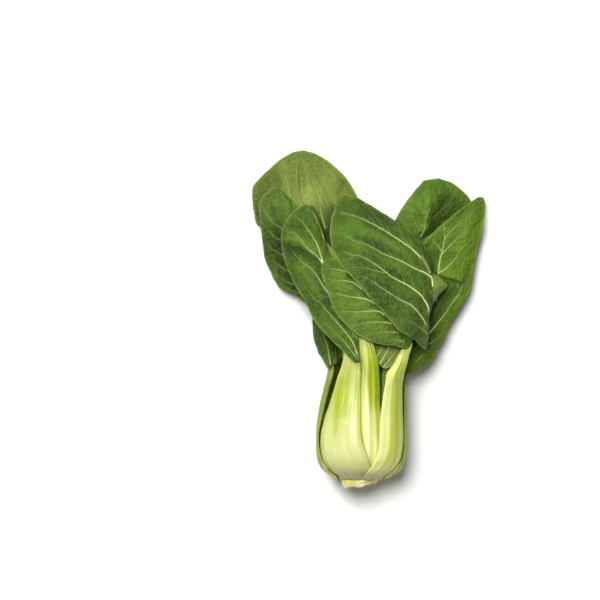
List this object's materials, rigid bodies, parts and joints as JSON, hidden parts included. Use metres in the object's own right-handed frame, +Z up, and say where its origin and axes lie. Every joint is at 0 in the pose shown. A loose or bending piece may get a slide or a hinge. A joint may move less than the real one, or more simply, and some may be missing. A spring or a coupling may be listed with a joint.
{
  "type": "bok choy head",
  "caption": "Cut head of green-stemmed bok choy lying down: clasping ribbed stalks form a bulb on a cut stump, and open into broad, waved, veined leaves that lie over each other.",
  "frame": {"origin": "under the middle of the head's bounding box, on the surface that it lies on", "axes": "+Y from the cut butt to the leaf tips, +Z up from the surface, +X to the right seen from above with the leaf tips away"},
  "size_m": [0.1596, 0.2306, 0.0638],
  "materials": {
    "cut_stump": "cut plant tissue, cream, matte and slightly fibrous",
    "stalk": "waxy satin plant skin, pale yellow-green with lengthwise ribs",
    "stalk_green": "waxy satin plant skin, mid yellow-green with lengthwise ribs",
    "leaf": "glossy leaf, mid green with pale branching veins",
    "leaf_dark": "glossy leaf, dark green with pale branching veins",
    "leaf_underside": "matte leaf underside, pale grey-green with fine lengthwise veins",
    "leaf_young": "young leaf, light yellow-green, satin"
  },
  "bodies": {
    "root": {"butt": "cut_stump", "front_left_stalk": "stalk", "front_left_blade": "leaf_dark", "middle_stalk": "stalk", "middle_blade": "leaf_underside", "front_right_stalk": "stalk", "front_right_blade": "leaf", "left_stalk": "stalk_green", "left_blade": "leaf", "right_stalk": "stalk_green", "right_blade": "leaf", "top_stalk": "stalk", "top_blade": "leaf_dark", "back_right_stalk": "stalk_green", "back_right_blade": "leaf", "back_left_stalk": "stalk_green", "back_left_blade": "leaf", "back_stalk": "stalk_green", "back_blade": "leaf", "heart_a_stalk": "stalk", "heart_a_blade": "leaf_young", "heart_b_stalk": "stalk", "heart_b_blade": "leaf_young"}
  },
  "joints": []
}
